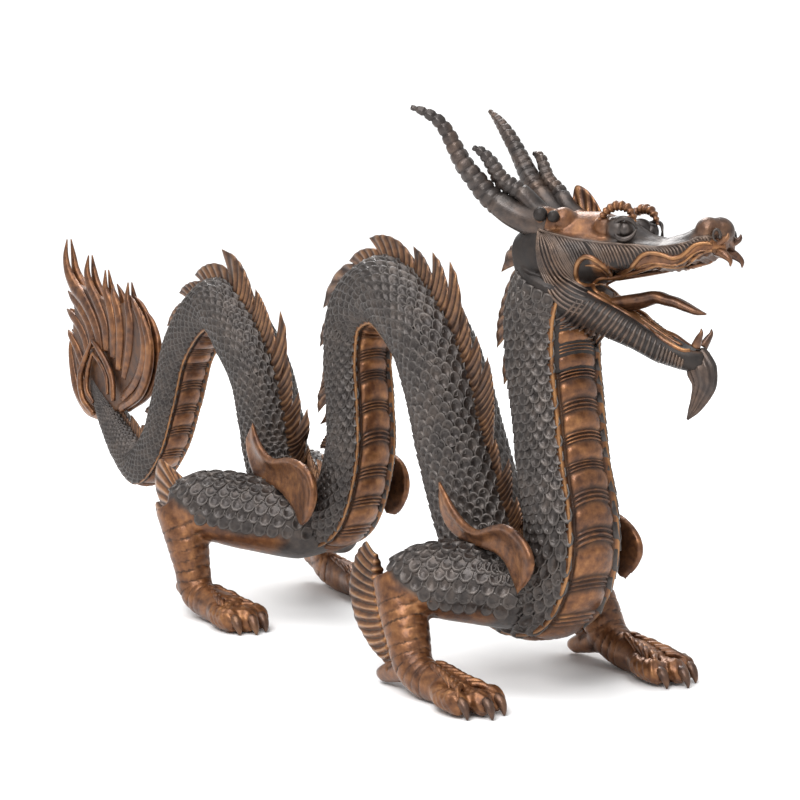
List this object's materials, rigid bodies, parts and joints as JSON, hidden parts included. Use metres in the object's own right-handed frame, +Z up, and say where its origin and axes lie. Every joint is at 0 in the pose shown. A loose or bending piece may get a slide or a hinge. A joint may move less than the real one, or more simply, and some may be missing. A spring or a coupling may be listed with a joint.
{
  "type": "dragon sculpture",
  "caption": "Free-standing hollow-cast bronze dragon striding with arched back, crest, horns and open mouth.",
  "frame": {"origin": "on the ground, under the centre of the bounding box", "axes": "+X towards the nose and the direction of stride, +Y towards the dragon's left, +Z up"},
  "size_m": [1.1615, 0.2868, 0.5476],
  "materials": {
    "dark_patina": "dark brown-black patina with a soft waxed sheen",
    "brown_bronze": "brown bronze, rubbed golden on the raised edges"
  },
  "bodies": {
    "root": {"dragon": "dark_patina"}
  },
  "joints": []
}
